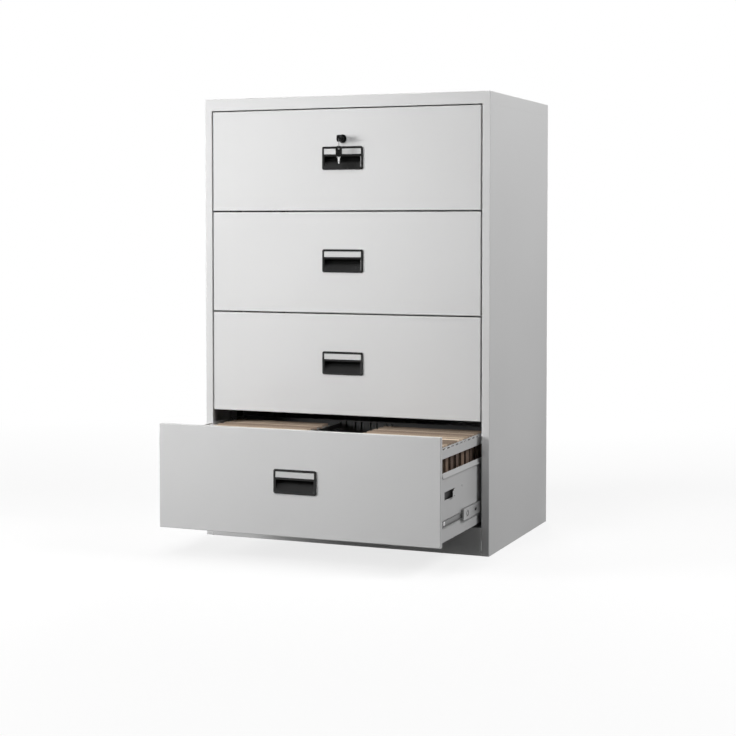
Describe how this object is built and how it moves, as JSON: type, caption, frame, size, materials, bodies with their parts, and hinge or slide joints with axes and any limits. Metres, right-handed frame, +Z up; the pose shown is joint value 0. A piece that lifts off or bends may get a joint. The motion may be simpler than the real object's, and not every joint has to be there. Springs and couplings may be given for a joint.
{
  "type": "lateral filing cabinet",
  "caption": "Wide steel lateral filing cabinet with full-width drawers on telescopic runners, recessed pull handles, a key lock and hanging folders; bottom drawer partly open.",
  "frame": {"origin": "centre of the footprint's bounding box on the floor, in the pictured pose with the bottom drawer 340 mm out", "axes": "+X to the cabinet's right seen from behind its front, +Y from the front to the back, +Z up"},
  "size_m": [0.9, 0.9434, 1.32],
  "materials": {
    "light_grey_paint": "light grey powder coat, fine orange peel, low sheen",
    "drawer_grey_paint": "mid grey powder coat on the drawer trays",
    "dark_grey_paint": "dark primer inside the base",
    "zinc_steel": "rolled zinc-plated steel",
    "black_plastic": "moulded black plastic, fine texture",
    "label_card": "blank silver-grey label strip",
    "lock_chrome": "nickel plated",
    "folder_card": "tan card hanging folders"
  },
  "bodies": {
    "cabinet": {"side_panel_left": "light_grey_paint", "side_panel_right": "light_grey_paint", "top_panel": "light_grey_paint", "back_panel": "light_grey_paint", "plinth": "light_grey_paint", "base_pan": "dark_grey_paint", "runner_frame_left": "zinc_steel", "runner_frame_right": "zinc_steel", "levelling_foot_front_left": "black_plastic", "levelling_foot_front_right": "black_plastic", "levelling_foot_rear_left": "black_plastic", "levelling_foot_rear_right": "black_plastic"},
    "drawer_1": {"drawer_1_front": "light_grey_paint", "drawer_1_tray": "drawer_grey_paint", "drawer_1_handle": "black_plastic", "drawer_1_label_card": "label_card", "drawer_1_file_frame": "zinc_steel", "drawer_1_side_left": "drawer_grey_paint", "drawer_1_side_right": "drawer_grey_paint", "lock_barrel": "lock_chrome"},
    "mid_runners_1": {"mid_runner_1_left": "zinc_steel", "mid_runner_1_right": "zinc_steel"},
    "drawer_2": {"drawer_2_front": "light_grey_paint", "drawer_2_tray": "drawer_grey_paint", "drawer_2_handle": "black_plastic", "drawer_2_label_card": "label_card", "drawer_2_file_frame": "zinc_steel", "drawer_2_side_left": "drawer_grey_paint", "drawer_2_side_right": "drawer_grey_paint"},
    "mid_runners_2": {"mid_runner_2_left": "zinc_steel", "mid_runner_2_right": "zinc_steel"},
    "drawer_3": {"drawer_3_front": "light_grey_paint", "drawer_3_tray": "drawer_grey_paint", "drawer_3_handle": "black_plastic", "drawer_3_label_card": "label_card", "drawer_3_file_frame": "zinc_steel", "drawer_3_side_left": "drawer_grey_paint", "drawer_3_side_right": "drawer_grey_paint"},
    "mid_runners_3": {"mid_runner_3_left": "zinc_steel", "mid_runner_3_right": "zinc_steel"},
    "drawer_4": {"drawer_4_front": "light_grey_paint", "drawer_4_tray": "drawer_grey_paint", "drawer_4_handle": "black_plastic", "drawer_4_label_card": "label_card", "drawer_4_file_frame": "zinc_steel", "drawer_4_side_left": "drawer_grey_paint", "drawer_4_side_right": "drawer_grey_paint", "hanging_folders_left": "folder_card", "hanging_folders_right": "folder_card"},
    "mid_runners_4": {"mid_runner_4_left": "zinc_steel", "mid_runner_4_right": "zinc_steel"},
    "lock": {"lock_plug": "lock_chrome", "lock_cam": "zinc_steel", "key": "black_plastic", "key_ring": "lock_chrome"},
    "spare_key": {"spare_key": "black_plastic"},
    "lock_lever": {"lock_lever": "zinc_steel"},
    "lock_bar": {"lock_bar": "zinc_steel"}
  },
  "joints": [
    {"name": "drawer_1_slide", "type": "slide", "parent": "cabinet", "child": "drawer_1", "axis": [0, -1, 0], "range_m": [0, 0.5]},
    {"name": "mid_runners_1_slide", "type": "slide", "parent": "cabinet", "child": "mid_runners_1", "axis": [0, -1, 0], "range_m": [0, 0.25]},
    {"name": "drawer_2_slide", "type": "slide", "parent": "cabinet", "child": "drawer_2", "axis": [0, -1, 0], "range_m": [0, 0.5]},
    {"name": "mid_runners_2_slide", "type": "slide", "parent": "cabinet", "child": "mid_runners_2", "axis": [0, -1, 0], "range_m": [0, 0.25]},
    {"name": "drawer_3_slide", "type": "slide", "parent": "cabinet", "child": "drawer_3", "axis": [0, -1, 0], "range_m": [0, 0.5]},
    {"name": "mid_runners_3_slide", "type": "slide", "parent": "cabinet", "child": "mid_runners_3", "axis": [0, -1, 0], "range_m": [0, 0.25]},
    {"name": "drawer_4_slide", "type": "slide", "parent": "cabinet", "child": "drawer_4", "axis": [0, -1, 0], "range_m": [-0.34, 0.16]},
    {"name": "mid_runners_4_slide", "type": "slide", "parent": "cabinet", "child": "mid_runners_4", "axis": [0, -1, 0], "range_m": [-0.17, 0.08]},
    {"name": "lock_turn", "type": "hinge", "parent": "drawer_1", "child": "lock", "pos_m": [0, -0.12835, 1.19375], "axis": [0, 1, 0], "range_deg": [-90, 0]},
    {"name": "spare_key_swing", "type": "hinge", "parent": "lock", "child": "spare_key", "pos_m": [0, -0.15735, 1.16815], "axis": [0, 1, 0], "range_deg": [0, 90]},
    {"name": "lock_lever_rock", "type": "hinge", "parent": "cabinet", "child": "lock_lever", "pos_m": [0.205, -0.08785, 1.265], "axis": [0, 1, 0], "range_deg": [0, 3.8]},
    {"name": "lock_bar_drop", "type": "slide", "parent": "cabinet", "child": "lock_bar", "axis": [0, 0, -1], "range_m": [0, 0.01563]}
  ],
  "couplings": [
    {"joint": "mid_runners_1_slide", "follows": "drawer_1_slide", "ratio": 0.5},
    {"joint": "mid_runners_2_slide", "follows": "drawer_2_slide", "ratio": 0.5},
    {"joint": "mid_runners_3_slide", "follows": "drawer_3_slide", "ratio": 0.5},
    {"joint": "mid_runners_4_slide", "follows": "drawer_4_slide", "ratio": 0.5},
    {"joint": "lock_turn", "follows": "lock_bar_drop", "rad_per_m": -100.5},
    {"joint": "spare_key_swing", "follows": "lock_bar_drop", "rad_per_m": 100.5},
    {"joint": "lock_lever_rock", "follows": "lock_bar_drop", "rad_per_m": 4.243}
  ]
}
